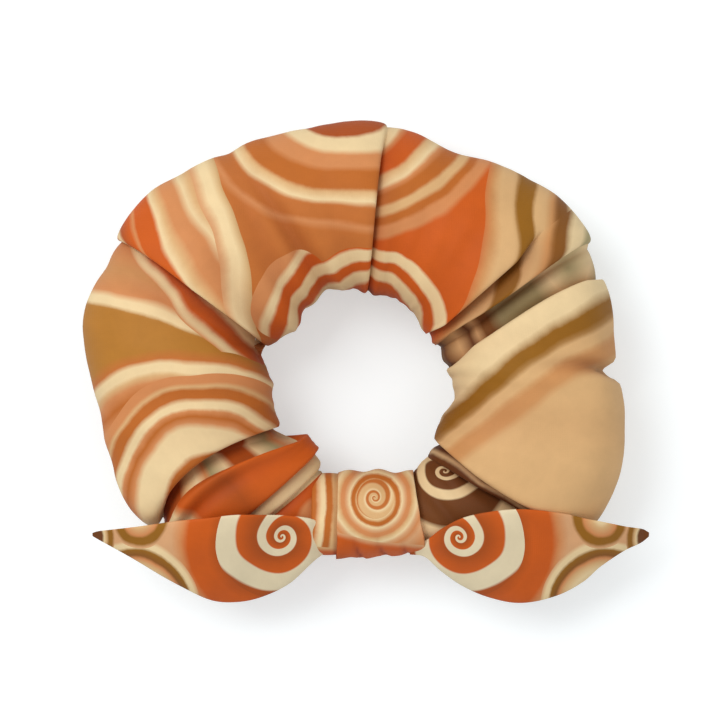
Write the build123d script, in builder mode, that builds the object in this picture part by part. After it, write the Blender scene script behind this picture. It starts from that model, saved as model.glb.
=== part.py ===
from build123d import *
import os
from math import cos, degrees, radians, sin

# A bow scrunchie lying flat on a table, in millimetres.
# Origin: the middle of the hair opening, on the table. +Z is up, and the knot is towards -Y.
# A sewn and gathered cloth tube, the casing, hides an elastic loop. A tie strip is knotted
# round the casing, and its two pointed tails lie over the casing's outer slope.

# --- driving sizes -----------------------------------------------------------------------
cloth = 1.0  # wall of the casing: printed cloth and its small gathers
rest_flat = 1.2  # how far the soft underside is pressed flat by the table

# the neck, where the tie squeezes the casing
neck_x = 0.6
neck_y = -28.2
neck_z = 12.5
neck_radius = 6.0
neck_wall = 2.0  # the bunched cloth of the casing inside the tie
beside_outer = 14.8  # how far the puffs beside the neck reach outwards past its middle
left_beside_inner = 9.2  # and inwards
right_beside_inner = 8.2

# casing: (angle round the ring, inner radius, outer radius, height) of each puff section
left_puffs = [
    (232, -neck_y - left_beside_inner, -neck_y + beside_outer, 19),
    (219, 18.8, 51.0, 23),
    (205, 19.5, 58.0, 27),
    (186, 19.3, 57.5, 30),
    (167, 19.6, 61.0, 31),
    (150, 21.0, 60.0, 29),
    (132, 18.8, 58.8, 30),
    (110, 19.0, 56.5, 30),
]
right_puffs = [
    (-52, -neck_y - right_beside_inner, -neck_y + beside_outer, 19),
    (-39, 19.8, 51.0, 23),
    (-25, 18.6, 56.8, 27),
    (-8, 18.6, 55.8, 30),
    (10, 18.0, 53.2, 29),
    (29, 17.9, 56.0, 28),
    (47, 17.8, 55.2, 30),
    (67, 18.0, 52.8, 30),
]
seam_angle = 87  # where the casing's two ends are sewn together
seam_section = (17.6, 54.5, 30)  # inner radius, outer radius and height at that seam

# elastic loop
band_width = 6.0
band_thick = 1.2
loop_top_y = 23.4
loop_corner = 8.0
lap_length = 10.0  # the overlap where the elastic's ends are sewn together
lap_angle = 155

# seam allowances and threads
allowance_thick = 1.2
allowance_height = 4.0
closing_allowance = 2.2
crease = 1.2  # width of the groove where the casing's ends meet
crease_depth = 0.6
long_seam_radius = 38.0
long_seam_start = -28  # the long seam's threads stop short of the neck
long_seam_turn = 239
thread = 0.5
lap_stitches = 6

# tie strip
tie_cloth = 2.9  # wall of the tie where it goes round the neck, two layers and folds
tie_fit = 0.3  # room between the casing's neck and the tie
tie_side_gap = 0.4  # room between the tie's sides and the puffs beside it
wrap_width = 20.0
first_turn_width = 2.4
first_turn_step = 0.9  # how much lower the first turn lies than the last one
edge_round = 0.8
tail_length = 46.6
tail_thick = 2.6
tail_skin = 0.6
tail_root_high = 0.8  # the root's upper and lower corners, above and below its middle in plan
tail_root_low = 4.6
tail_high = 5.4  # the widest place's two edges, in plan
tail_low = 15.2
tail_tip = 2.4
tail_tilt = 34.0  # slope of the tails across the casing's outer side
tail_rise = 3.4  # how far a tail climbs over the puffs before it falls to its tip
tail_fall = 4.5  # how far the tip lies below the root
tail_root_out = 3.3  # how far outside the neck's middle a tail's root lies
tail_root_z = 19.8
tail_gap = 0.35  # room between the knot and a tail's rounded root
tail_seam_inset = 1.6

# --- values worked out from them ------------------------------------------------------------
wrap_inner = neck_radius + tie_fit
wrap_outer = wrap_inner + tie_cloth
tie_width = wrap_width + first_turn_width
knot_width = tie_width + 2 * tie_side_gap
seam_inner, seam_outer, seam_height = seam_section
seam_half_width = (seam_outer - seam_inner) / 2
seam_half_height = seam_height / 2
tail_root_x = neck_x + tie_width / 2 + tail_gap + tail_thick / 2
tail_root_y = neck_y - tail_root_out
os.makedirs("parts", exist_ok=True)


def save(name, built):
    """Labels a finished piece and writes it as one STEP file."""
    built.part.label = name
    export_step(built.part, f"parts/{name}.step")


def puff_plane(angle, inner, outer, height):
    """The upright radial plane of a casing section, centred on that section."""
    middle = (inner + outer) / 2
    out = Vector(cos(radians(angle)), sin(radians(angle)), 0)
    along = Vector(sin(radians(angle)), -cos(radians(angle)), 0)
    return Plane(
        origin=(out.X * middle, out.Y * middle, height / 2 - rest_flat), x_dir=out, z_dir=along
    )


def neck_plane(x):
    """The plane of a casing section inside the tie, with its local x towards the outside."""
    return Plane(origin=(x, neck_y, neck_z), x_dir=(0, -1, 0), z_dir=(-1, 0, 0))


def half_casing(puffs, side, wall, bunch):
    """One half of the casing's envelope, shrunk by a wall. Side is -1 for the left and 1 for the right."""
    start = neck_x + side * crease / 2
    end = neck_x + side * knot_width / 2
    stations = [(neck_plane(x), neck_radius - bunch, neck_radius - bunch) for x in (start, (start + end) / 2, end)]
    for angle, inner, outer, height in puffs:
        plane = puff_plane(angle, inner, outer, height)
        stations.append((plane, (outer - inner) / 2 - wall, height / 2 - wall))
    stations.append(
        (seam_plane.offset(side * crease / 2), seam_half_width - wall, seam_half_height - wall)
    )
    with BuildPart() as half:
        # both halves are lofted clockwise, the way their planes face
        for plane, half_width, half_height in stations[:: -side]:
            with BuildSketch(plane):
                Ellipse(half_width, half_height)
        loft(ruled=True)
        split(bisect_by=Plane.XY.offset(wall))
    return half.part


def tail_outline(inset):
    """The right tail's plan outline, measured from its root and shrunk by an inset."""
    with BuildSketch(Plane((tail_root_x, tail_root_y, 0))) as outline:
        with BuildLine():
            upper = ThreePointArc(
                (-tail_thick, tail_root_high),
                (0.42 * tail_length, tail_high),
                (tail_length - tail_tip / 2, tail_tip / 2),
            )
            lower = ThreePointArc(
                (tail_length - tail_tip / 2, -tail_tip / 2),
                (0.47 * tail_length, -tail_low),
                (-tail_thick, -tail_root_low),
            )
            ThreePointArc(upper @ 1, (tail_length, 0), lower @ 0)
            Line(lower @ 1, upper @ 0)
        make_face()
        if inset:
            offset(amount=-inset)
    return outline.sketch


def tail_slab(thickness):
    """A sheet that slopes across the casing and arches along the tail, with a round edge at its root."""
    slope = Vector(0, -cos(radians(tail_tilt)), -sin(radians(tail_tilt)))
    start = Vector(tail_root_x, tail_root_y, tail_root_z) - slope * tail_length / 2
    with BuildPart() as slab:
        with BuildSketch(Plane(origin=start, x_dir=(1, 0, 0), z_dir=slope)):
            with BuildLine():
                ThreePointArc(
                    (0, 0),
                    (0.38 * tail_length, tail_rise),
                    (tail_length + tail_thick, -tail_fall),
                )
            trace(line_width=thickness)
        extrude(amount=tail_length)
    return slab.part


def tail_body(inset, thickness):
    """The right tail as one solid, its outline shrunk by an inset."""
    return extrude(tail_outline(inset), amount=tail_length) & tail_slab(thickness)


# --- casing ---------------------------------------------------------------------------------
seam_plane = puff_plane(seam_angle, seam_inner, seam_outer, seam_height)
with BuildPart() as casing:
    for puffs, side in ((left_puffs, -1), (right_puffs, 1)):
        add(half_casing(puffs, side, 0, 0))
        add(half_casing(puffs, side, cloth, neck_wall), mode=Mode.SUBTRACT)
    # bunched cloth in the middle of the neck
    with BuildSketch(neck_plane(neck_x + crease)):
        Circle(neck_radius - crease_depth)
        Circle(neck_radius - neck_wall - crease_depth, mode=Mode.SUBTRACT)
    extrude(amount=2 * crease)
    # the closing seam: a groove outside, and the allowance as a rim inside, all round the tube
    with BuildSketch(seam_plane.offset(-crease)):
        Ellipse(seam_half_width - crease_depth, seam_half_height - crease_depth)
        Ellipse(
            seam_half_width - cloth - closing_allowance,
            seam_half_height - cloth - closing_allowance,
            mode=Mode.SUBTRACT,
        )
    extrude(amount=2 * crease)
    split(bisect_by=Plane.XY)
    # the long seam's allowance stands on the underside's wall, inside the tube
    with BuildSketch(Plane.XY.offset(cloth / 2)):
        with BuildLine():
            CenterArc((0, 0), long_seam_radius, long_seam_start, long_seam_turn)
        trace(line_width=allowance_thick)
    extrude(amount=cloth / 2 + allowance_height)
save("casing", casing)

# two threads lock the long seam, one on each side of its allowance
with BuildPart() as long_seam_thread:
    for side in (-1, 1):
        radius = long_seam_radius + side * (allowance_thick + thread) / 2
        with BuildLine(Plane.XY.offset(cloth + allowance_height / 2)):
            seam_line = CenterArc((0, 0), radius, long_seam_start, long_seam_turn)
        with BuildSketch(Plane(origin=seam_line @ 0, z_dir=seam_line % 0)):
            Circle(thread / 2)
        sweep(path=seam_line)
save("long_seam_thread", long_seam_thread)

# the closing seam's two threads run round the tube on both faces of the rim
with BuildPart() as closing_seam_thread:
    stitch_depth = cloth + closing_allowance / 2
    for side in (-1, 1):
        with BuildSketch(seam_plane.offset(side * crease)):
            Ellipse(seam_half_width - stitch_depth, seam_half_height - stitch_depth)
            Ellipse(
                seam_half_width - stitch_depth - thread,
                seam_half_height - stitch_depth - thread,
                mode=Mode.SUBTRACT,
            )
        extrude(amount=side * thread)
    split(bisect_by=Plane.XY.offset(cloth + thread))
save("closing_seam_thread", closing_seam_thread)

# --- elastic ----------------------------------------------------------------------------------
loop_end = Vector(tie_width / 2, neck_y)
loop_centre_y = (loop_end.X**2 + neck_y**2 - loop_top_y**2) / (2 * (neck_y - loop_top_y))
loop_radius = loop_top_y - loop_centre_y
with BuildPart() as elastic:
    with BuildSketch(Plane((neck_x, 0, neck_z - band_width / 2))):
        with BuildLine():
            Line((-loop_end.X, neck_y), (loop_end.X, neck_y))
            ThreePointArc((loop_end.X, neck_y), (0, loop_top_y), (-loop_end.X, neck_y))
        make_face()
        fillet(vertices(), loop_corner)
        offset(amount=band_thick / 2)
        offset(amount=-band_thick, mode=Mode.SUBTRACT)
        # one end laps over the other on the inner face
        lap_turn = degrees(lap_length / loop_radius)
        with BuildLine():
            CenterArc(
                (0, loop_centre_y), loop_radius - band_thick, lap_angle - lap_turn / 2, lap_turn
            )
        trace(line_width=band_thick + thread / 10)
    extrude(amount=band_width)
save("elastic", elastic)

# a zigzag row of stitches goes through both layers of the lap
lap_out = Vector(cos(radians(lap_angle)), sin(radians(lap_angle)), 0)
lap_middle = Vector(neck_x, loop_centre_y, neck_z) + lap_out * (loop_radius - 2 * band_thick)
with BuildPart() as elastic_join_thread:
    with BuildSketch(Plane(origin=lap_middle, x_dir=(0, 0, 1), z_dir=lap_out)):
        with BuildLine():
            Polyline(
                [
                    ((i % 2 - 0.5) * 0.7 * band_width, (i / lap_stitches - 0.5) * 0.7 * lap_length)
                    for i in range(lap_stitches + 1)
                ]
            )
        trace(line_width=thread)
    extrude(amount=3 * band_thick)
save("elastic_join_thread", elastic_join_thread)

# --- tie strip ----------------------------------------------------------------------------------
first_turn_end = neck_x - tie_width / 2 + first_turn_width
with BuildPart() as knot_wrap:
    with BuildSketch(neck_plane(neck_x + tie_width / 2)):
        Circle(wrap_outer)
        Circle(wrap_inner, mode=Mode.SUBTRACT)
    extrude(amount=wrap_width)
    fillet(edges().filter_by(GeomType.CIRCLE).group_by(SortBy.RADIUS)[-1], edge_round)
save("knot_wrap", knot_wrap)

with BuildPart() as knot_first_turn:
    with BuildSketch(neck_plane(first_turn_end)):
        Circle(wrap_outer - first_turn_step)
        Circle(wrap_inner, mode=Mode.SUBTRACT)
    extrude(amount=first_turn_width)
    fillet(edges().filter_by(GeomType.CIRCLE).group_by(SortBy.RADIUS)[-1].sort_by(Axis.X)[0], edge_round)
save("knot_first_turn", knot_first_turn)

# each tail is a flat sewn sleeve: an outer skin, a hollow, and the seam's thread near its edge
cavity_thick = tail_thick - 2 * tail_skin
sleeve = tail_body(0, tail_thick) - tail_body(tail_skin, cavity_thick)
sleeve_thread = tail_body(tail_seam_inset, cavity_thick) - tail_body(
    tail_seam_inset + thread, tail_thick
)
for side in ("left", "right"):
    for ending, body in (("", sleeve), ("_seam_thread", sleeve_thread)):
        with BuildPart() as tail_piece:
            add(body)
            if side == "left":
                mirror(about=Plane.YZ.offset(neck_x), mode=Mode.REPLACE)
        save(f"tail_{side}{ending}", tail_piece)
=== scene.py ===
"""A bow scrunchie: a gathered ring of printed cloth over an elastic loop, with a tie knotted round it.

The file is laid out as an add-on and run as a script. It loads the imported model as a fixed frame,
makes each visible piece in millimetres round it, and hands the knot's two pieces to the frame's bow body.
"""

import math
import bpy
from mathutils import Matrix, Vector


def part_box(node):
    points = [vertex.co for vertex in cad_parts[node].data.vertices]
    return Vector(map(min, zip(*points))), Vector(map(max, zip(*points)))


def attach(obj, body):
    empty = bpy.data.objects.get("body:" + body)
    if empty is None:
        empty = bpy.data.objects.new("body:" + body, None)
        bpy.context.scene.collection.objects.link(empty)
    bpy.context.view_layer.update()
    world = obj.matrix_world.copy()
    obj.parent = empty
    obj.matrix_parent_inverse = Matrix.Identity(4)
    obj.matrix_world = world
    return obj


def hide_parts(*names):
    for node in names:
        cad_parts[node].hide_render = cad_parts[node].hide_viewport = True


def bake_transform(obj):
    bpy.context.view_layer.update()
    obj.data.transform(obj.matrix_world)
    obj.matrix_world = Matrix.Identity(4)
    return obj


bl_info = {
    "name": "Bow Scrunchie",
    "version": (1, 0, 0),
    "blender": (4, 5, 0),
    "location": "View3D > Sidebar > Scrunchie",
    "description": "Makes a gathered cloth scrunchie with a knotted bow, and the stage it lies on",
    "category": "Add Mesh",
}

import bmesh
import bpy
from mathutils import Vector, noise

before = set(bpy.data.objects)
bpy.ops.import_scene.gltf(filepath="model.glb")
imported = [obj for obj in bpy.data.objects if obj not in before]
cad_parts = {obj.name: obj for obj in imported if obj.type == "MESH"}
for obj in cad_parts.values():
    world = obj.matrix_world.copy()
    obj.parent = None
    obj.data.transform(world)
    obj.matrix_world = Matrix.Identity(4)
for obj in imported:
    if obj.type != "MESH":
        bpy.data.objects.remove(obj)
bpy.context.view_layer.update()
MM = 0.001

# The print's colours, as dyed on the cloth.
DYES = {
    "rust": "#A94C12",
    "orange": "#C75812",
    "amber": "#B96624",
    "sienna": "#BE6D30",
    "peach": "#CF8853",
    "blush": "#D6A274",
    "sand": "#C98F58",
    "tan": "#D8AD78",
    "cream": "#E9CE9E",
    "ivory": "#E2D2AF",
    "ochre": "#B0752A",
    "olive": "#936013",
    "khaki": "#A79A6E",
    "umber": "#86521A",
    "brown": "#6E3D14",
}

PAINTED_FOLD_SHADE_TINT = "#B58A6E"  # painted shade: the tint multiplied into the print deep inside a fold, where little light is left

# --- shape of the ring ------------------------------------------------------------------------
# Rows of (turn round the ring in degrees from +X, inner radius, outer radius, height, height of
# the tube's middle), in millimetres. The tie squeezes the ring at turn -90 and 270.
RING = [
    (-90, 22.6, 33.4, 11.0, 12.5),
    (-76, 22.8, 34.4, 12.0, 12.5),
    (-68, 22.6, 38.0, 14.5, 12.5),
    (-60, 20.8, 44.0, 17.5, 12.3),
    (-50, 19.6, 50.0, 20.5, 12.0),
    (-40, 19.2, 54.0, 23.5, 12.0),
    (-30, 18.8, 56.0, 26.5, 12.8),
    (-20, 18.0, 56.8, 28.5, 13.4),
    (-8, 19.0, 55.8, 29.5, 13.8),
    (4, 17.6, 53.6, 29.5, 13.7),
    (14, 15.6, 54.2, 29.5, 13.7),
    (28, 16.2, 56.2, 29.0, 13.6),
    (43, 17.0, 56.4, 29.0, 13.6),
    (56, 17.4, 54.4, 28.5, 13.5),
    (70, 18.4, 53.2, 28.5, 13.5),
    (84, 17.6, 54.6, 28.5, 13.5),
    (99, 19.0, 55.2, 29.0, 13.6),
    (114, 20.0, 56.6, 29.5, 13.7),
    (128, 18.8, 57.6, 30.0, 13.8),
    (140, 19.2, 60.6, 30.0, 13.8),
    (155, 21.6, 60.8, 30.0, 13.8),
    (167, 20.4, 61.0, 30.5, 13.9),
    (180, 19.2, 58.2, 30.0, 13.9),
    (194, 19.6, 56.8, 28.5, 13.6),
    (206, 20.4, 56.2, 25.5, 12.8),
    (213, 18.8, 54.0, 24.0, 12.3),
    (222, 18.6, 52.0, 21.5, 12.0),
    (231, 18.4, 47.5, 19.0, 12.1),
    (240, 20.0, 42.0, 16.0, 12.3),
    (248, 22.4, 37.0, 13.6, 12.4),
    (256, 22.9, 35.0, 12.2, 12.5),
    (270, 22.6, 33.4, 11.0, 12.5),
]

# The cloth's panels meet in deep gathers. Rows of (turns at the inner edge, on top and at the
# outer edge, depths there, side whose cloth folds over the other: 1 is towards larger turns, how
# far it folds over), in degrees and millimetres.
GATHERS = [
    ((-50.0, -39.5, -40.0), (0.8, 3.6, 1.6), 1, 1.0),
    ((-34.0, -33.5, -31.5), (4.2, 4.4, 3.6), 1, 2.0),
    ((9.0, 21.0, 22.4), (1.6, 4.0, 2.4), -1, 1.8),
    ((25.0, 30.5, 31.0), (1.4, 2.8, 0.8), 1, 1.0),
    ((41.0, 41.5, 40.0), (1.8, 3.6, -4.0), 1, 1.8),
    ((89.0, 87.5, 85.0), (2.0, 2.6, 0.7), 1, 0.8),
    ((155.0, 149.5, 150.0), (3.2, 3.0, 1.2), -1, 2.0),
    ((202.0, 203.6, 213.4), (3.2, 4.2, 2.8), -1, 1.8),
    ((210.0, 206.2, 214.8), (1.8, 1.4, 0.6), 1, 0.6),
    ((231.0, 226.5, 226.5), (2.4, 2.6, 1.4), -1, 0.9),
    ((242.0, 234.5, 229.0), (2.6, 3.2, 1.6), -1, 1.0),
]

# Softer folds inside a panel: (turns, depths, half width).
SOFT_FOLDS = [
    ((-62.0, -58.0, -54.0), (1.2, 1.8, 1.4), 1.8),
    ((-4.0, 4.0, 2.4), (0.0, 0.3, 4.2), 1.5),
    ((-14.0, -12.0, -10.0), (1.2, 0.6, 0.4), 5.0),
    ((13.0, 12.0, 11.0), (0.8, 0.5, 0.3), 3.0),
    ((56.0, 54.0, 50.0), (1.4, 0.5, 0.3), 3.2),
    ((75.0, 72.0, 68.0), (1.2, 0.4, 0.5), 4.0),
    ((100.0, 101.0, 103.0), (1.4, 0.4, 0.3), 2.4),
    ((114.0, 117.0, 121.0), (2.2, 1.8, 0.3), 2.0),
    ((128.0, 126.0, 120.0), (2.0, 1.0, 0.3), 2.6),
    ((147.0, 138.0, 132.0), (2.4, 1.0, 0.2), 2.2),
    ((163.0, 158.0, 156.0), (1.8, 1.6, 0.5), 2.6),
    ((181.0, 182.0, 186.0), (1.0, 0.5, 0.5), 4.5),
    ((192.0, 194.0, 198.0), (1.2, 0.6, 0.4), 3.0),
    ((219.0, 214.0, 218.0), (0.6, 2.0, 1.8), 1.8),
    ((252.0, 250.0, 248.0), (1.6, 1.4, 1.2), 1.4),
]

PANEL_APART = 300.0  # how far apart the panels' cloth lies on the UV map, mm
TUBE_FLAT, TUBE_SIDE = 19.3, 6.0  # mm of cloth for one radian round the tube, on top and at its sides


def between(rows, at):
    """The values at a place, from rows of (place, value, ...), joined smoothly."""
    last = len(rows) - 1
    i = next((n for n in range(last) if at <= rows[n + 1][0]), last - 1)
    a, b = rows[i], rows[i + 1]
    before, after = rows[max(i - 1, 0)], rows[min(i + 2, last)]
    f = min(max((at - a[0]) / (b[0] - a[0]), 0), 1)
    values = []
    for k in range(1, len(a)):
        leaving = (b[k] - before[k]) / (b[0] - before[0]) * (b[0] - a[0])
        arriving = (after[k] - a[k]) / (after[0] - a[0]) * (b[0] - a[0])
        values.append(
            (2 * f**3 - 3 * f**2 + 1) * a[k]
            + (f**3 - 2 * f**2 + f) * leaving
            + (3 * f**2 - 2 * f**3) * b[k]
            + (f**3 - f**2) * arriving
        )
    return values


def across(inner_top_outer, share):
    """A value between those at the inner edge, on top and at the outer edge; share runs 0 to 1."""
    inner, top, outer = inner_top_outer
    bend = top - (inner + outer) / 2
    return inner + (outer - inner) * share + bend * 4 * share * (1 - share)


def cloth_across(section):
    """Distance over the cloth from the tube's outer side; the print spreads on top, as on flat cloth."""
    if section > 90:
        return 2 * cloth_across(90) - cloth_across(180 - section)
    s, edge = math.radians(section), math.asin(TUBE_SIDE / TUBE_FLAT)
    if s < edge:
        return TUBE_SIDE * s
    return TUBE_SIDE * edge + TUBE_FLAT * (math.cos(edge) - math.cos(s))


def cloth_on_ring(turn, section):
    """The print's place on the ring, in mm: as seen from above, and mirrored on the underside."""
    inner, outer, *_ = between(RING, turn)
    over = section if 0 <= section <= 180 else (-section if section < 0 else 360 - section)
    radius = outer - (outer - inner) * cloth_across(over) / cloth_across(180)
    return radius * math.cos(math.radians(turn)), radius * math.sin(math.radians(turn))


def wrapped_cloth(name, columns, rows, place, cloth, closed_ends=False):
    """A grid of cloth, shaped by place(u, v) in mm and sewn to itself where its edges meet.

    place may add a fourth value, how strongly painted fold shade darkens the print at that point. cloth(u, v,
    face_u) gives the
    UV map's place of a corner, in mm.
    """
    bm = bmesh.new()
    uv_map = bm.loops.layers.uv.new("cloth")
    painted_fold_shade = bm.verts.layers.float.new("painted_fold_shade")
    bmesh.ops.create_grid(bm, x_segments=columns, y_segments=rows, size=0.5)
    for face in bm.faces:
        middle = face.calc_center_median()
        for loop in face.loops:
            corner = loop.vert.co
            loop[uv_map].uv = cloth(corner.x + 0.5, corner.y + 0.5, middle.x + 0.5)
        face.smooth = True
    for vert in bm.verts:
        x, y, z, *fold = place(vert.co.x + 0.5, vert.co.y + 0.5)
        vert.co = Vector((x, y, z)) * MM
        vert[painted_fold_shade] = fold[0] if fold else 0.0
    bmesh.ops.remove_doubles(bm, verts=bm.verts, dist=0.01 * MM)
    if closed_ends:
        bmesh.ops.holes_fill(bm, edges=[e for e in bm.edges if e.is_boundary], sides=0)
    bmesh.ops.recalc_face_normals(bm, faces=bm.faces)
    mesh = bpy.data.meshes.new(name)
    bm.to_mesh(mesh)
    bm.free()
    piece = bpy.data.objects.new(name, mesh)
    bpy.context.scene.collection.objects.link(piece)
    return piece


# --- casing -------------------------------------------------------------------------------------
def panel_edges(share):
    """Turns of the panels' edges at a place across the ring."""
    return [-90.0] + [across(turns, share) for turns, *_ in GATHERS] + [270.0]


def casing_columns():
    """(panel, how far across it) for each column, closer together beside the gathers."""
    columns = []
    tops = panel_edges(0.5)
    for panel in range(len(tops) - 1):
        count = max(12, round((tops[panel + 1] - tops[panel]) * 1.62))
        for i in range(count):
            q = i / count
            columns.append((panel, q - 0.11 * math.sin(2 * math.pi * q)))
    columns.append((len(tops) - 2, 1.0))
    return columns


def casing_point(panel, q, section, fullness, wrinkle):
    """A point on the gathered tube, in mm, and how strongly painted fold shade darkens the print there.

    section is 0 outside, 90 on top, 180 inside and 270 underneath.
    """
    s = math.radians(section)
    share = (1 + math.cos(s)) / 2
    edges = panel_edges(share)
    turn = edges[panel] + (edges[panel + 1] - edges[panel]) * q
    inner, outer, height, middle = between(RING, turn)
    half_wide, half_high = (outer - inner) / 2, height / 2
    radius = (inner + outer) / 2 + half_wide * math.cos(s)
    # the underside is pressed flatter and smoother
    lying = min(1.0, max(0.0, (math.sin(s) + 0.5) / 0.6))
    calm = 0.35 + 0.65 * lying * lying * (3 - 2 * lying)
    squeeze = min(1.0, max(0.0, (half_high - 5.5) / 8.0))
    out, shift, painted_fold_shade = 0.0, 0.0, 0.0
    arc = math.pi / 180 * max(radius, 20.0)
    for k, (_, depths, over, reach) in enumerate(GATHERS):
        off = (turn - edges[k + 1]) * arc
        if panel == k and q == 1.0 or panel == k + 1 and q == 0.0:
            off = 0.0
        if abs(off) > 30:
            continue
        depth = max(0.0, across(depths, share)) * calm * (0.35 + 0.65 * squeeze)
        fold = min(1.0, depth / 3.0)
        if off * over > 0 or (panel == k + 1) == (over > 0):
            away = abs(off)
            lip = 2.4
            out -= depth * math.exp(-away / (0.36 * lip))
            shift -= over * (lip + reach) * fold * (away / lip) * math.exp(1 - away / lip) * 0.8
            out += 0.8 * fold * (away / (2 * lip)) * math.exp(1 - away / (2 * lip))
        else:
            out -= depth * math.exp(-abs(off) / (3.0 + reach * fold))
            # painted shade: the cloth under the overlapping panel is darkened close to the gather
            painted_fold_shade = max(painted_fold_shade, fold * math.exp(-abs(off) / (1.6 + 1.3 * reach)))
    for turns, depths, wide in SOFT_FOLDS:
        off = (turn - across(turns, share)) * arc
        depth = max(0.0, across(depths, share)) * calm * squeeze
        near = math.exp(-((off / wide) ** 2))
        out -= depth * near
        # painted shade along a soft fold, at most half strength
        painted_fold_shade = max(painted_fold_shade, min(0.5, depth / 5) * near)
    gathered = 0.2 + 0.62 * (1 - share) ** 2
    fine = noise.noise(Vector((turn * 0.16, section * 0.012, 3.1)))
    finer = noise.noise(Vector((turn * 0.42, section * 0.02, 8.4)))
    loose = noise.noise(Vector((turn * 0.05, math.sin(s / 2) * 3.0, 5.7)))
    out += wrinkle * gathered * (1.0 * fine + 0.3 * finer) * (0.3 + 0.7 * squeeze) * calm
    out += fullness * 0.9 * loose * squeeze * calm
    bearing = math.radians(turn) + shift / max(radius, 20.0)
    radius += out * math.cos(s)
    height_here = middle + half_high * math.sin(s) + out * math.sin(s)
    return (
        radius * math.cos(bearing),
        radius * math.sin(bearing),
        max(height_here, 0.0),
        painted_fold_shade,
    )


def make_casing(settings):
    columns = casing_columns()
    count = len(columns) - 1

    def column(u):
        return columns[min(round(u * count), count)]

    def place(u, v):
        panel, q = column(u)
        return casing_point(panel, q, (270 + 360 * v) % 360, settings.fullness, settings.wrinkle)

    def cloth(u, v, face_u):
        panel, q = column(u)
        on_panel = columns[min(int(face_u * count), count - 1)][0]
        section = 270 + 360 * v - 360
        share = (1 + math.cos(math.radians(section))) / 2
        edges = panel_edges(share)
        if panel != on_panel:
            q = 1.0
        turn = edges[on_panel] + (edges[on_panel + 1] - edges[on_panel]) * q
        x, y = cloth_on_ring(turn, section)
        return on_panel * PANEL_APART + x, y

    casing = wrapped_cloth("casing_cloth", count, settings.tube_rows, place, cloth)
    casing.data.materials.append(printed_cloth("printed_polyester_satin_casing", CASING_PRINT))
    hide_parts("casing", "long_seam_thread", "closing_seam_thread")
    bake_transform(casing)
    return casing


# --- elastic ------------------------------------------------------------------------------------
def make_elastic():
    low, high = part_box("elastic")
    width, thick, rib_count = (high.z - low.z) / MM, 1.2, 90
    length_round, girth = 170, 15
    neck_y, top_y, half_neck = -28.2, 23.4, 11.2
    centre_y = (half_neck**2 + neck_y**2 - top_y**2) / (2 * (neck_y - top_y))
    radius = top_y - centre_y
    end = math.atan2(neck_y - centre_y, half_neck)
    straight = 0.12

    def place(u, v):
        if u < straight:
            x, y = -half_neck + 2 * half_neck * u / straight, neck_y
            out = Vector((0, -1))
        else:
            turn = end + (math.pi - 2 * end) * (u - straight) / (1 - straight)
            out = Vector((math.cos(turn), math.sin(turn)))
            x, y = radius * out.x, centre_y + radius * out.y
        corner = 2 * math.pi * v
        rib = 0.06 * math.cos(u * 2 * math.pi * rib_count)
        flat = max(-1, min(1, 1.35 * math.cos(corner)))
        side = max(-1, min(1, 1.35 * math.sin(corner)))
        away = (thick / 2 + rib) * flat
        return x + out.x * away, y + out.y * away, low.z / MM + width * (0.5 + 0.5 * side)

    def cloth(u, v, _):
        return u * length_round, v * girth

    elastic = wrapped_cloth("elastic_band", 360, 16, place, cloth)
    elastic.data.materials.append(braided_elastic())
    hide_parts("elastic")
    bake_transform(elastic)
    return elastic


# --- knot ---------------------------------------------------------------------------------------
KNOT_Y, KNOT_Z = -28.2, 12.5


def round_neck(x, radius, turn):
    """A point round the neck's axis; turn 0 is towards the opening and 90 is up."""
    return x, KNOT_Y + radius * math.cos(turn), KNOT_Z + radius * math.sin(turn)


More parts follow.
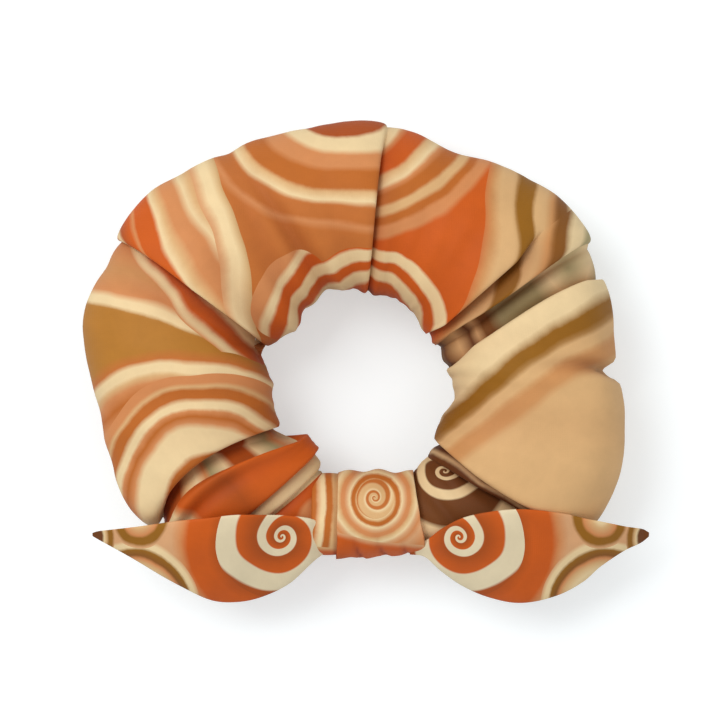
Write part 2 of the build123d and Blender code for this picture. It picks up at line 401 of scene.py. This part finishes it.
def make_knot():
    def wrap(u, v):
        turn = 2 * math.pi * u
        front = (1 - math.cos(turn)) / 2
        left, right = -5.6 - 0.5 * front, 10.2 + 2.7 * front
        loop = 2 * math.pi * v
        side = max(-1.0, min(1.0, 1.22 * math.cos(loop)))
        x = (left + right) / 2 + (right - left) / 2 * side
        x += 0.25 * noise.noise(Vector((math.cos(turn) * 2, math.sin(turn) * 2, 1.7)))
        outer = max(-1.0, min(1.0, 1.9 * math.sin(loop)))
        radius = 7.9 + 1.4 * outer * (1 - 0.1 * side**2)
        painted_fold_shade = 0.0
        if outer > 0:
            # low pleats run from the opening's side to the front, and three tucks pull the front in
            pleat = math.sin(x * 0.95 - 1.5 * math.cos(turn) + 0.7 * math.sin(2 * turn))
            radius += outer * 0.22 * pleat
            radius += outer * 0.45 * noise.noise(Vector((x * 0.22, math.cos(turn), math.sin(turn) * 1.4)))
            for tuck_x, slant, deep in ((-1.6, 1.6, 0.6), (3.4, 2.0, 0.6), (8.4, 1.2, 0.4)):
                off = x - tuck_x - slant * (turn - 2.6)
                near = math.exp(-((off / 0.55) ** 2)) * math.exp(-(((turn - 2.9) / 0.55) ** 2))
                radius -= outer * deep * near
                # painted shade darkens the print along each tuck
                painted_fold_shade = max(painted_fold_shade, 0.7 * near)
            radius -= outer * 0.9 * max(0.0, x / 12) * math.exp(-(((turn - 3.1) / 0.7) ** 2))
        return *round_neck(x, radius, turn), painted_fold_shade

    def seen_from_above(place):
        def cloth(u, v, _):
            x, y, *_ = place(u, v)
            return x, y

        return cloth

    knot = wrapped_cloth("knot_wrap_cloth", 200, 96, wrap, seen_from_above(wrap))
    knot.data.materials.append(
        printed_cloth("printed_polyester_satin_knot", KNOT_PRINT, flow=2.4, growth=2.2)
    )

    def first_turn(u, v):
        turn = 2 * math.pi * u
        front = (1 - math.cos(turn)) / 2
        left, right = -11.2 - 0.2 * front, -4.6
        loop = 2 * math.pi * v
        side = max(-1.0, min(1.0, 1.2 * math.cos(loop)))
        x = (left + right) / 2 + (right - left) / 2 * side
        outer = max(-1.0, min(1.0, 1.5 * math.sin(loop)))
        radius = 7.6 + 1.15 * outer - 0.35 * side * side
        radius += 0.12 * math.sin(3 * turn + 1) * (outer > 0)
        # painted shade on the first turn's top where it runs in under the wrap's edge
        return *round_neck(x, radius, turn), 0.4 if outer > 0 and x > -6.6 else 0.0

    under = wrapped_cloth("knot_first_turn_cloth", 120, 48, first_turn, seen_from_above(first_turn))
    under.data.materials.append(
        printed_cloth("printed_polyester_satin_first_turn", FIRST_TURN_PRINT, flow=1.6)
    )
    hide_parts("knot_wrap")
    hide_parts("knot_first_turn")
    for piece in (knot, under):
        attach(piece, "bow")
    return knot


# --- tails --------------------------------------------------------------------------------------
# Rows of (distance from the ring's middle line, upper edge, lower edge), in mm in plan.
RIGHT_TAIL = [
    (9.5, -33.4, -36.6),
    (12.6, -33.4, -37.0),
    (16.0, -30.7, -40.0),
    (20.5, -28.2, -43.2),
    (26.5, -26.8, -45.8),
    (33.0, -26.4, -46.9),
    (41.0, -27.3, -45.4),
    (46.6, -28.6, -42.4),
    (50.0, -29.3, -39.2),
    (55.0, -30.4, -35.8),
    (58.8, -31.1, -34.0),
    (60.2, -31.9, -32.8),
]
LEFT_TAIL = [
    (7.5, -31.4, -35.6),
    (10.6, -28.9, -37.8),
    (16.0, -27.9, -42.8),
    (22.0, -27.6, -45.8),
    (27.5, -27.6, -46.9),
    (32.6, -28.2, -46.4),
    (39.2, -28.9, -43.1),
    (47.6, -30.3, -38.3),
    (54.0, -31.2, -34.8),
    (56.6, -31.6, -33.4),
    (57.8, -32.0, -32.7),
]


def tail_height(x, y):
    """Height of a tail's middle surface over a place in plan."""
    root_x, root_y, root_z, tilt = 13.4, -31.5, 19.8, math.radians(34)
    length, crest, rise, droop = 46.6, 0.38, 3.4, 20.5
    past_crest = (x - root_x) / length - crest
    if past_crest < 0:
        arch = rise * (1 - (past_crest / 0.42) ** 2)
    else:
        arch = rise - droop * past_crest**2
    return root_z + (y - root_y) * math.tan(tilt) + max(arch, -4) / math.cos(tilt)


def make_tails():
    made = []
    for side, rows, body, node in (
        (1, RIGHT_TAIL, "right_tail", "tail_right"),
        (-1, LEFT_TAIL, "left_tail", "tail_left"),
    ):
        first, last = rows[0][0], rows[-1][0]

        def place(u, v, rows=rows, side=side, first=first, last=last):
            x = first + (last - first) * (1 - (1 - u) ** 1.25)
            upper, lower = between(rows, x)
            loop = 2 * math.pi * v
            fan = math.cos(loop)
            half = max(upper - lower, 0.4) / 2
            y = (upper + lower) / 2 + half * fan
            full = 1.5 * min(1, half / 5) * max(0.25, 1 - u**6)
            face = math.copysign(abs(math.sin(loop)) ** 0.7, math.sin(loop))
            z = tail_height(x, y) + full * face
            drape = 0.9 * math.sin(x * 0.19 + y * 0.12 + side) * min(1, (x - first) / 12)
            crumple = 0.8 * noise.noise(Vector((x * 0.13, y * 0.13, 2.2 + side)))
            root_pleats = 0.3 * math.cos(y * 1.1) * max(0, 1 - (x - first) / 13)
            if face > 0:
                z += root_pleats * abs(face)
            z += drape + crumple - 0.9 * max(0, 1 - (x - first) / 4)
            return side * x, y, z

        def cloth(u, v, _, rows=rows, first=first, last=last, side=side):
            x = first + (last - first) * (1 - (1 - u) ** 1.25)
            upper, lower = between(rows, x)
            half = max(upper - lower, 0.4) / 2
            shift = 0.0 if side > 0 else 2.2
            return x + shift, (upper + lower) / 2 + half * math.cos(2 * math.pi * v)

        tail = wrapped_cloth(f"{node}_cloth", 190, 96, place, cloth, closed_ends=True)
        tail.data.materials.append(printed_cloth(f"printed_polyester_satin_{node}", TAIL_PRINT))
        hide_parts(node, f"{node}_seam_thread")
        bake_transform(tail)
        made.append(tail)
    return made


# --- print --------------------------------------------------------------------------------------
# Each swirl is (panel, its middle on the cloth in mm, width scale, where it is drawn as (middle,
# nearest and farthest distance from it), kind, bands as (distance in mm, or share of a spiral's
# turn, and dye)). Later swirls lie on top.
EVERYWHERE = ((0, 0), -1, 999)
INNER_RINGS = [
    (0, "rust"), (6.0, "rust"), (7.6, "orange"), (9.2, "orange"), (9.9, "cream"), (11.4, "cream"),
    (12.0, "orange"), (13.3, "orange"), (13.9, "cream"), (15.7, "cream"), (16.3, "orange"),
]  # fmt: skip
RIGHT_STRIPES = [
    (0, "orange"), (89.6, "orange"), (91.8, "sand"), (93.2, "tan"), (95.6, "tan"),
    (96.4, "olive"), (99.6, "olive"), (100.6, "tan"), (102.4, "tan"), (104.0, "sand"),
    (105.2, "umber"), (107.0, "umber"), (108.2, "cream"),
    (110.4, "cream"), (111.6, "khaki"), (125, "tan"),
]  # fmt: skip
CASING_PRINT = [
    # brown gather beside the knot, and the strip between it and the right puff
    (0, (15.9, -17.9), 1, EVERYWHERE, "spiral", [
        (0, "cream"), (0.3, "cream"), (0.36, "brown"), (0.92, "brown"), (1, "cream"),
    ]),
    (1, (-1.9, -71.2), 1, EVERYWHERE, "rings", [
        (0, "brown"), (52.4, "brown"), (53.4, "khaki"), (55.4, "cream"), (56.6, "brown"),
        (58.6, "brown"), (59.4, "cream"), (60.4, "brown"), (64, "brown"),
    ]),
    # right puff
    (2, (118.1, -120.1), 1, EVERYWHERE, "rings", [
        (0, "tan"), (100, "tan"), (112, "cream"), (118, "tan"), (136, "tan"), (141.6, "tan"),
        (143.4, "sand"), (145.8, "sand"), (147, "tan"), (148.6, "tan"), (149.4, "olive"),
        (151.6, "olive"), (152.6, "cream"), (190, "cream"),
    ]),
    # khaki fold, and the striped fold beside it; the khaki darkening to umber from 19 to 24 mm is painted
    # shade near the fold's inner end, and the tan and brown stripes beyond it are print
    (3, (43, 24), 1, EVERYWHERE, "rings", [
        (0, "khaki"), (5, "cream"), (9, "khaki"), (19, "khaki"), (22, "umber"), (24, "umber"),
        (26, "tan"), (28, "brown"), (30.5, "tan"), (33, "brown"), (36, "khaki"),
    ]),
    (4, (-63.5, 55.8), 1, EVERYWHERE, "rings", RIGHT_STRIPES),
    # top right
    (5, (-4.2, 59.7), 0.85, EVERYWHERE, "rings", [
        (0, "cream"), (12.0, "cream"), (12.8, "peach"), (13.8, "orange"), (17.0, "orange"),
        (17.8, "tan"), (19.8, "cream"), (20.6, "peach"), (21.6, "amber"), (23.6, "amber"),
        (24.4, "tan"), (25.6, "tan"), (26.4, "amber"), (27.4, "amber"), (28.2, "peach"),
        (29.8, "peach"), (30.8, "orange"), (60, "orange"),
    ]),
    (5, (-63.5, 55.8), 1, ((-63.5, 55.8), 90.5, 999), "rings", RIGHT_STRIPES),
    (5, (0.4, 11.7), 1, ((0.4, 11.7), -1, 16.4), "rings", INNER_RINGS),
    # top left: stripes that run into the opening, then an ochre field with arcs above it
    (6, (10, 62), 1, EVERYWHERE, "rings", [
        (0, "cream"), (44, "cream"), (46.5, "tan"), (48, "peach"), (50.5, "tan"), (52, "cream"),
        (53.5, "peach"), (56, "peach"), (57.6, "tan"), (59, "cream"), (59.8, "orange"),
        (63, "orange"), (63.5, "peach"), (64.4, "orange"), (66.5, "rust"), (67.3, "cream"),
        (68.5, "peach"), (72, "tan"),
    ]),
    (6, (-309.7, -68), 1, ((-309.7, -68), 295.6, 999), "rings", [
        (0, "peach"), (295.8, "peach"), (296.8, "cream"), (299.6, "cream"), (300.8, "ochre"),
        (340, "ochre"),
    ]),
    (6, (-4.2, 59.7), 0.88, ((-309.7, -68), 300.6, 999), "rings", [
        (0, "rust"), (9.4, "rust"), (10.2, "cream"), (12.8, "cream"), (14.0, "peach"),
        (16.4, "peach"), (17.6, "amber"), (20.8, "amber"), (21.6, "tan"), (23.2, "cream"),
        (24.2, "sienna"), (26.8, "sienna"), (27.8, "peach"), (29.2, "sienna"), (34, "sienna"),
        (60, "amber"),
    ]),
    (6, (0.4, 11.7), 1, ((-14.6, 19.6), -1, 7.6), "rings", [
        (0, "orange"), (18.4, "orange"), (19.2, "cream"), (20.2, "cream"), (21.2, "peach"),
        (40, "peach"),
    ]),
    (6, (0.4, 11.7), 1, ((0.4, 11.7), -1, 16.4), "rings", INNER_RINGS),
    # left puff
    (7, (-66.2, -62.6), 1, EVERYWHERE, "rings", [
        (0, "ochre"), (79.2, "ochre"), (80.0, "cream"), (81.6, "cream"), (83.0, "peach"),
        (88, "sand"), (92, "peach"), (120, "peach"),
    ]),
    (7, (58.4, 102.9), 1, ((58.4, 102.9), -1, 131), "rings", [
        (0, "peach"), (122.8, "peach"), (123.6, "cream"), (124.8, "cream"), (125.6, "rust"),
        (128.2, "orange"), (129.2, "cream"), (130.2, "cream"), (131, "peach"),
    ]),
    (7, (-36.5, -29.8), 1, ((-36.5, -29.8), -1, 37), "rings", [
        (0, "peach"), (26, "peach"), (28.4, "amber"), (30.6, "peach"), (31.8, "tan"),
        (32.6, "cream"), (34.0, "cream"), (35.0, "sienna"), (37, "ochre"),
    ]),
    (7, (-32.0, -22.4), 1, ((-32.0, -22.4), -1, 25), "rings", [
        (0, "amber"), (6.6, "amber"), (7.4, "peach"), (8.2, "tan"), (9.0, "amber"),
        (10.4, "amber"), (11.2, "cream"), (14.6, "cream"), (15.6, "peach"), (16.6, "amber"),
        (17.6, "peach"), (18.2, "cream"), (19.2, "cream"), (20.2, "amber"), (21.8, "amber"),
        (22.6, "tan"), (23.4, "peach"), (25, "peach"),
    ]),
    # pocket, orange gather, cream strip, and the cloth beside the knot
    (8, (-28.5, -11.5), 1, EVERYWHERE, "rings", [
        (0, "rust"), (3.4, "rust"), (4.4, "cream"), (7.2, "khaki"), (8.6, "peach"), (11, "cream"),
        (14, "tan"), (16, "rust"),
    ]),
    (9, (-41.5, -33), 1, EVERYWHERE, "rings", [
        (0, "rust"), (2.6, "rust"), (3.6, "khaki"), (5.4, "cream"), (8.0, "cream"),
        (9.2, "peach"), (10.2, "orange"), (18, "rust"), (22, "orange"), (60, "orange"),
    ]),
    (10, (-18, -20), 1, EVERYWHERE, "rings", [(0, "cream"), (9, "cream"), (20, "tan")]),
    (11, (-10, -28), 1, EVERYWHERE, "rings", [
        (0, "peach"), (3.4, "peach"), (4.6, "orange"), (14, "orange"),
    ]),
]  # fmt: skip
TAIL_PRINT = [
    (0, (20.5, -33.0), 1, EVERYWHERE, "rings", [
        (0, "orange"), (9, "orange"), (12, "rust"), (15, "orange"), (18.8, "orange"),
        (20.2, "peach"), (22, "blush"), (60, "blush"),
    ]),
    (0, (19.2, -32.6), 1, ((19.2, -32.6), -1, 14.2), "spiral", [
        (0, "rust"), (0.46, "orange"), (0.5, "ivory"), (0.86, "ivory"), (0.9, "rust"),
        (1, "rust"),
    ]),
    (0, (51.2, -47.2), 1, ((51.2, -47.2), -1, 14.4), "rings", [
        (0, "tan"), (8.2, "cream"), (9.6, "tan"), (10.4, "peach"), (11.0, "umber"),
        (12.2, "olive"), (12.8, "cream"), (13.6, "cream"), (14.4, "blush"),
    ]),
    (0, (49.4, -28.2), 1, ((49.4, -28.2), -1, 6.6), "rings", [
        (0, "cream"), (1.2, "cream"), (2.2, "tan"), (3.9, "peach"), (4.5, "olive"),
        (5.8, "olive"), (6.5, "blush"),
    ]),
    (0, (61.4, -32.4), 1, ((61.4, -32.4), -1, 6), "rings", [
        (0, "brown"), (3.0, "brown"), (3.5, "cream"), (4.0, "tan"), (4.6, "olive"),
        (5.4, "olive"), (6, "blush"),
    ]),
]  # fmt: skip
KNOT_PRINT = [
    (0, (2.1, -24.6), 1, EVERYWHERE, "rings", [
        (0, "tan"), (3.2, "tan"), (3.8, "cream"),
        (4.2, "tan"), (4.6, "amber"), (5.2, "amber"), (5.7, "cream"), (6.4, "blush"),
        (6.9, "peach"), (7.5, "peach"), (8.0, "tan"), (8.8, "cream"), (9.4, "blush"),
        (10.2, "peach"), (11.2, "blush"), (13, "peach"),
    ]),
    (0, (2.1, -24.0), 1, ((2.1, -24.4), -1, 4.1), "spiral", [
        (0, "tan"), (0.3, "tan"), (0.42, "sienna"), (0.66, "sienna"), (0.78, "cream"),
        (1, "tan"),
    ]),
    # the strip's orange part shows at the front
    (0, (18, 60), 1, ((18, 60), 94.6, 999), "rings", [
        (0, "blush"), (94.6, "blush"), (95.6, "orange"), (98, "orange"), (101, "rust"),
    ]),
]  # fmt: skip
FIRST_TURN_PRINT = [
    (0, (-60, -24), 1, EVERYWHERE, "rings", [
        (0, "amber"), (49.6, "amber"), (50.1, "blush"), (50.8, "cream"), (51.4, "cream"),
        (51.8, "amber"), (52.8, "amber"), (53.3, "tan"), (56, "tan"),
    ]),
    (0, (0, 60), 1, ((0, 60), 95.2, 999), "rings", [
        (0, "tan"), (95.2, "tan"), (96.2, "orange"), (100, "rust"),
    ]),
]  # fmt: skip


def linear(colour):
    """A dye's name or an sRGB hex value as a linear colour."""
    text = DYES.get(colour, colour).lstrip("#")
    parts = [int(text[i : i + 2], 16) / 255 for i in (0, 2, 4)]
    return [c / 12.92 if c <= 0.04045 else ((c + 0.055) / 1.055) ** 2.4 for c in parts] + [1.0]


def new_material(name):
    """A material with nothing but its Principled shader."""
    material = bpy.data.materials.new(name)
    material.use_nodes = True
    return material, material.node_tree, material.node_tree.nodes["Principled BSDF"]


def add_node(tree, kind, settings=None, links=None):
    """Adds a node, sets its properties or sockets by name, and joins its inputs to other outputs."""
    node = tree.nodes.new(kind)
    for name, value in (settings or {}).items():
        if isinstance(name, str) and hasattr(node, name):
            setattr(node, name, value)
        else:
            node.inputs[name].default_value = value
    for name, output in (links or {}).items():
        tree.links.new(output, node.inputs[name])
    return node


def math_node(tree, operation, first, second=0.0, third=0.0):
    """The output of a Math node on numbers or outputs."""
    settings, links = {"operation": operation}, {}
    for i, value in enumerate((first, second, third)):
        (settings if isinstance(value, (int, float)) else links)[i] = value
    return add_node(tree, "ShaderNodeMath", settings, links).outputs[0]


def printed_cloth(name, swirls, flow=5.0, growth=2.6):
    """Woven polyester satin with a swirled print: soft low sheen, fine threads, soft-edged dyes, and painted
    shade deep in folds.
    """
    material, tree, shader = new_material(name)
    cloth = add_node(tree, "ShaderNodeUVMap", {"uv_map": "cloth"}).outputs["UV"]
    # the dyes flow: the print's places wander by a few millimetres
    wander = add_node(
        tree, "ShaderNodeTexNoise", {"Scale": 0.045, "Detail": 2.0, "Roughness": 0.45}, {"Vector": cloth}
    ).outputs["Color"]
    wander = add_node(
        tree, "ShaderNodeVectorMath", {"operation": "SUBTRACT", 1: (0.5, 0.5, 0.5)}, {0: wander}
    ).outputs[0]
    flowing = add_node(
        tree,
        "ShaderNodeVectorMath",
        {"operation": "MULTIPLY_ADD", 1: (flow, flow, 0)},
        {0: wander, 2: cloth},
    ).outputs[0]
    streak = add_node(
        tree, "ShaderNodeTexNoise", {"Scale": 0.22, "Detail": 4.0, "Roughness": 0.6}, {"Vector": cloth}
    ).outputs["Fac"]
    place_u = add_node(tree, "ShaderNodeSeparateXYZ", {}, {0: cloth}).outputs["X"]
    colour = None
    for panel, middle, wide, (drawn_from, nearest, farthest), kind, bands in swirls:
        centre = (panel * PANEL_APART + middle[0], middle[1], 0)
        offset = add_node(
            tree, "ShaderNodeVectorMath", {"operation": "SUBTRACT", 1: centre}, {0: flowing}
        ).outputs[0]
        offset = add_node(
            tree, "ShaderNodeVectorMath", {"operation": "MULTIPLY", 1: (wide, 1, 0)}, {0: offset}
        ).outputs[0]
        distance = add_node(
            tree, "ShaderNodeVectorMath", {"operation": "LENGTH"}, {0: offset}
        ).outputs["Value"]
        if kind == "rings":
            reach = bands[-1][0]
            jitter = math_node(tree, "MULTIPLY_ADD", streak, 0.8, -0.4)
            level = math_node(tree, "ADD", distance, jitter)
            level = math_node(tree, "DIVIDE", level, reach)
        else:
            reach = 1.0
            parts = add_node(tree, "ShaderNodeSeparateXYZ", {}, {0: offset}).outputs
            turned = math_node(tree, "ARCTAN2", parts["Y"], parts["X"])
            turned = math_node(tree, "DIVIDE", turned, 2 * math.pi)
            grown = math_node(tree, "LOGARITHM", math_node(tree, "ADD", distance, 0.6), growth)
            level = math_node(tree, "FRACT", math_node(tree, "SUBTRACT", grown, turned))
        ramp = add_node(tree, "ShaderNodeValToRGB", {}, {0: level})
        stops = ramp.color_ramp.elements
        while len(stops) < len(bands):
            stops.new(1.0)
        for stop, (at, dye) in zip(stops, bands):
            stop.position = at / reach
            stop.color = linear(dye)
        if colour is None:
            colour = ramp.outputs["Color"]
            continue
        here = math_node(tree, "GREATER_THAN", place_u, (panel - 0.5) * PANEL_APART)
        here = math_node(
            tree, "MULTIPLY", here, math_node(tree, "LESS_THAN", place_u, (panel + 0.5) * PANEL_APART)
        )
        if farthest < 999 or nearest > 0:
            if drawn_from != middle:
                spot = (panel * PANEL_APART + drawn_from[0], drawn_from[1], 0)
                distance = add_node(
                    tree, "ShaderNodeVectorMath", {"operation": "DISTANCE", 1: spot}, {0: flowing}
                ).outputs["Value"]
            for operation, limit in (("GREATER_THAN", nearest), ("LESS_THAN", farthest)):
                here = math_node(tree, "MULTIPLY", here, math_node(tree, operation, distance, limit))
        colour = add_node(
            tree, "ShaderNodeMixRGB", {}, {"Fac": here, "Color1": colour, "Color2": ramp.outputs["Color"]}
        ).outputs[0]
    # the dyes take unevenly
    tone = math_node(tree, "MULTIPLY_ADD", streak, 0.22, 0.89)
    colour = add_node(
        tree, "ShaderNodeVectorMath", {"operation": "SCALE"}, {0: colour, "Scale": tone}
    ).outputs[0]
    # painted shade: deep in a fold the print is multiplied towards a darker, redder tint, standing in for the
    # light lost from dye to dye there
    painted_fold_shade = add_node(tree, "ShaderNodeAttribute", {"attribute_name": "painted_fold_shade"}).outputs["Fac"]
    colour = add_node(
        tree,
        "ShaderNodeMixRGB",
        {"blend_type": "MULTIPLY", "Color2": linear(PAINTED_FOLD_SHADE_TINT)},
        {"Fac": painted_fold_shade, "Color1": colour},
    ).outputs[0]
    tree.links.new(colour, shader.inputs["Base Color"])
    # threads 0.3 mm apart, drawn at 0.45 mm so that they show
    threads = []
    for direction in ("X", "Y"):
        wave = add_node(
            tree,
            "ShaderNodeTexWave",
            {"bands_direction": direction, "Scale": 0.7, "Distortion": 0.6},
            {"Vector": cloth},
        )
        threads.append(wave.outputs["Fac"])
    weave = math_node(tree, "ADD", threads[0], threads[1])
    bump = add_node(
        tree, "ShaderNodeBump", {"Strength": 0.09, "Distance": 0.0001}, {"Height": weave}
    )
    tree.links.new(bump.outputs[0], shader.inputs["Normal"])
    shader.inputs["Roughness"].default_value = 0.62
    shader.inputs["Specular IOR Level"].default_value = 0.2
    shader.inputs["Sheen Weight"].default_value = 0.03
    shader.inputs["Sheen Roughness"].default_value = 0.5
    return material


def braided_elastic():
    """Braided rubber and polyester elastic: matte off-white with ribs along it."""
    material, tree, shader = new_material("braided_elastic")
    cloth = add_node(tree, "ShaderNodeUVMap", {"uv_map": "cloth"}).outputs["UV"]
    ribs = add_node(
        tree,
        "ShaderNodeTexWave",
        {"bands_direction": "Y", "Scale": 0.35, "Distortion": 1.0},
        {"Vector": cloth},
    )
    ramp = add_node(tree, "ShaderNodeValToRGB", {}, {0: ribs.outputs["Fac"]})
    ramp.color_ramp.elements[0].color = linear("#D9D6CC")
    ramp.color_ramp.elements[1].color = linear("#F1EFE8")
    tree.links.new(ramp.outputs["Color"], shader.inputs["Base Color"])
    bump = add_node(
        tree, "ShaderNodeBump", {"Strength": 0.4, "Distance": 0.0002}, {"Height": ribs.outputs["Fac"]}
    )
    tree.links.new(bump.outputs[0], shader.inputs["Normal"])
    shader.inputs["Roughness"].default_value = 0.85
    return material


def sewing_thread():
    """Spun polyester sewing thread: matte, with the twist's fine slant."""
    material, tree, shader = new_material("spun_polyester_thread")
    place = add_node(tree, "ShaderNodeTexCoord").outputs["Object"]
    twist = add_node(
        tree, "ShaderNodeTexWave", {"bands_direction": "DIAGONAL", "Scale": 900.0}, {"Vector": place}
    )
    ramp = add_node(tree, "ShaderNodeValToRGB", {}, {0: twist.outputs["Fac"]})
    ramp.color_ramp.elements[0].color = linear("#A25A24")
    ramp.color_ramp.elements[1].color = linear("#C98048")
    tree.links.new(ramp.outputs["Color"], shader.inputs["Base Color"])
    shader.inputs["Roughness"].default_value = 0.7
    return material


# --- stage --------------------------------------------------------------------------------------
def make_stage(settings):
    scene = bpy.context.scene
    scene.view_settings.view_transform = "Standard"
    bm = bmesh.new()
    bmesh.ops.create_grid(bm, x_segments=2, y_segments=2, size=1.5)
    mesh = bpy.data.meshes.new("floor")
    bm.to_mesh(mesh)
    bm.free()
    floor = bpy.data.objects.new("floor", mesh)
    floor.location.z = -0.0003
    scene.collection.objects.link(floor)
    material, tree, shader = new_material("white_paper_floor")
    shader.inputs["Base Color"].default_value = linear("#D3D9DB")
    shader.inputs["Roughness"].default_value = 1.0
    shader.inputs["Specular IOR Level"].default_value = 0.0
    # the camera sees the lit paper a little brighter, so that it is white but keeps the shadow
    seen = add_node(tree, "ShaderNodeLightPath").outputs["Is Camera Ray"]
    glow = math_node(tree, "MULTIPLY", seen, settings.paper_glow)
    shader.inputs["Emission Color"].default_value = linear("#FFFFFF")
    tree.links.new(glow, shader.inputs["Emission Strength"])
    floor.data.materials.append(material)

    world = bpy.data.worlds.new("soft_white_room")
    world.use_nodes = True
    world.node_tree.nodes["Background"].inputs["Color"].default_value = linear("#FFFFFF")
    world.node_tree.nodes["Background"].inputs["Strength"].default_value = settings.room_light
    scene.world = world
    for name, place, size, power in (
        ("key_softbox", (-0.45, 0.35, 0.75), 0.5, settings.key_light),
        ("fill_softbox", (0.6, -0.2, 0.7), 0.8, settings.key_light * 0.25),
    ):
        lamp = bpy.data.lights.new(name, "AREA")
        lamp.size = size
        lamp.energy = power
        light = bpy.data.objects.new(name, lamp)
        light.location = place
        light.rotation_euler = (-Vector(place)).to_track_quat("-Z", "Y").to_euler()
        scene.collection.objects.link(light)

    camera = bpy.data.objects.new("camera", bpy.data.cameras.new("camera"))
    camera.data.sensor_width = 36
    camera.data.lens = 150
    plane_z, frame_wide = 0.016, 0.1524
    camera.location = (-0.00106, 0.00466, plane_z + frame_wide * camera.data.lens / 36)
    scene.collection.objects.link(camera)
    scene.camera = camera
    return floor


# --- add-on -------------------------------------------------------------------------------------
class CasingSettings(bpy.types.PropertyGroup):
    fullness: bpy.props.FloatProperty(
        name="Fullness",
        description="How unevenly the casing puffs between its gathers",
        default=1.0,
        min=0,
        max=2,
    )
    wrinkle: bpy.props.FloatProperty(
        name="Wrinkles", description="How deep the small gathers are, mm", default=1.0, min=0, max=3
    )
    tube_rows: bpy.props.IntProperty(
        name="Rows", description="Rows of mesh round the tube", default=144, min=32, max=240
    )


class StageSettings(bpy.types.PropertyGroup):
    key_light: bpy.props.FloatProperty(
        name="Key light", description="Power of the large soft light", default=4.4, min=0, unit="POWER"
    )
    paper_glow: bpy.props.FloatProperty(
        name="Paper glow", description="How much whiter the camera sees the paper", default=0.42, min=0, max=1
    )
    room_light: bpy.props.FloatProperty(
        name="Room light", description="Strength of the white room's light", default=0.62, min=0, max=2
    )


class SCRUNCHIE_OT_casing(bpy.types.Operator):
    """Make the gathered casing of printed cloth"""

    bl_idname = "scrunchie.casing"
    bl_label = "Make Casing"

    def execute(self, context):
        make_casing(context.scene.scrunchie_casing)
        return {"FINISHED"}


class SCRUNCHIE_OT_elastic(bpy.types.Operator):
    """Make the elastic loop inside the casing, and its thread"""

    bl_idname = "scrunchie.elastic"
    bl_label = "Make Elastic"

    def execute(self, context):
        make_elastic()
        thread = sewing_thread()
        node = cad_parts["elastic_join_thread"]
        node.data.materials.clear()
        node.data.materials.append(thread)
        return {"FINISHED"}


class SCRUNCHIE_OT_knot(bpy.types.Operator):
    """Make the knot of the tie strip"""

    bl_idname = "scrunchie.knot"
    bl_label = "Make Knot"

    def execute(self, context):
        make_knot()
        return {"FINISHED"}


class SCRUNCHIE_OT_tails(bpy.types.Operator):
    """Make the tie's two pointed tails"""

    bl_idname = "scrunchie.tails"
    bl_label = "Make Tails"

    def execute(self, context):
        make_tails()
        return {"FINISHED"}


class SCRUNCHIE_OT_stage(bpy.types.Operator):
    """Make the white floor, the soft lights and the camera"""

    bl_idname = "scrunchie.stage"
    bl_label = "Make Stage"

    def execute(self, context):
        make_stage(context.scene.scrunchie_stage)
        return {"FINISHED"}


class SCRUNCHIE_PT_panel(bpy.types.Panel):
    bl_label = "Scrunchie"
    bl_idname = "SCRUNCHIE_PT_panel"
    bl_space_type = "VIEW_3D"
    bl_region_type = "UI"
    bl_category = "Scrunchie"

    def draw(self, context):
        for settings in (context.scene.scrunchie_casing, context.scene.scrunchie_stage):
            for name in settings.__annotations__:
                self.layout.prop(settings, name)
        for operator in OPERATORS:
            self.layout.operator(operator.bl_idname)


OPERATORS = (
    SCRUNCHIE_OT_casing,
    SCRUNCHIE_OT_elastic,
    SCRUNCHIE_OT_knot,
    SCRUNCHIE_OT_tails,
    SCRUNCHIE_OT_stage,
)
CLASSES = (CasingSettings, StageSettings, *OPERATORS, SCRUNCHIE_PT_panel)


def register():
    for cls in CLASSES:
        bpy.utils.register_class(cls)
    bpy.types.Scene.scrunchie_casing = bpy.props.PointerProperty(type=CasingSettings)
    bpy.types.Scene.scrunchie_stage = bpy.props.PointerProperty(type=StageSettings)


def unregister():
    del bpy.types.Scene.scrunchie_stage
    del bpy.types.Scene.scrunchie_casing
    for cls in reversed(CLASSES):
        bpy.utils.unregister_class(cls)


def main():
    register()
    bpy.ops.scrunchie.casing()
    bpy.ops.scrunchie.elastic()
    bpy.ops.scrunchie.knot()
    bpy.ops.scrunchie.tails()
    bpy.ops.scrunchie.stage()


if __name__ == "__main__":
    main()
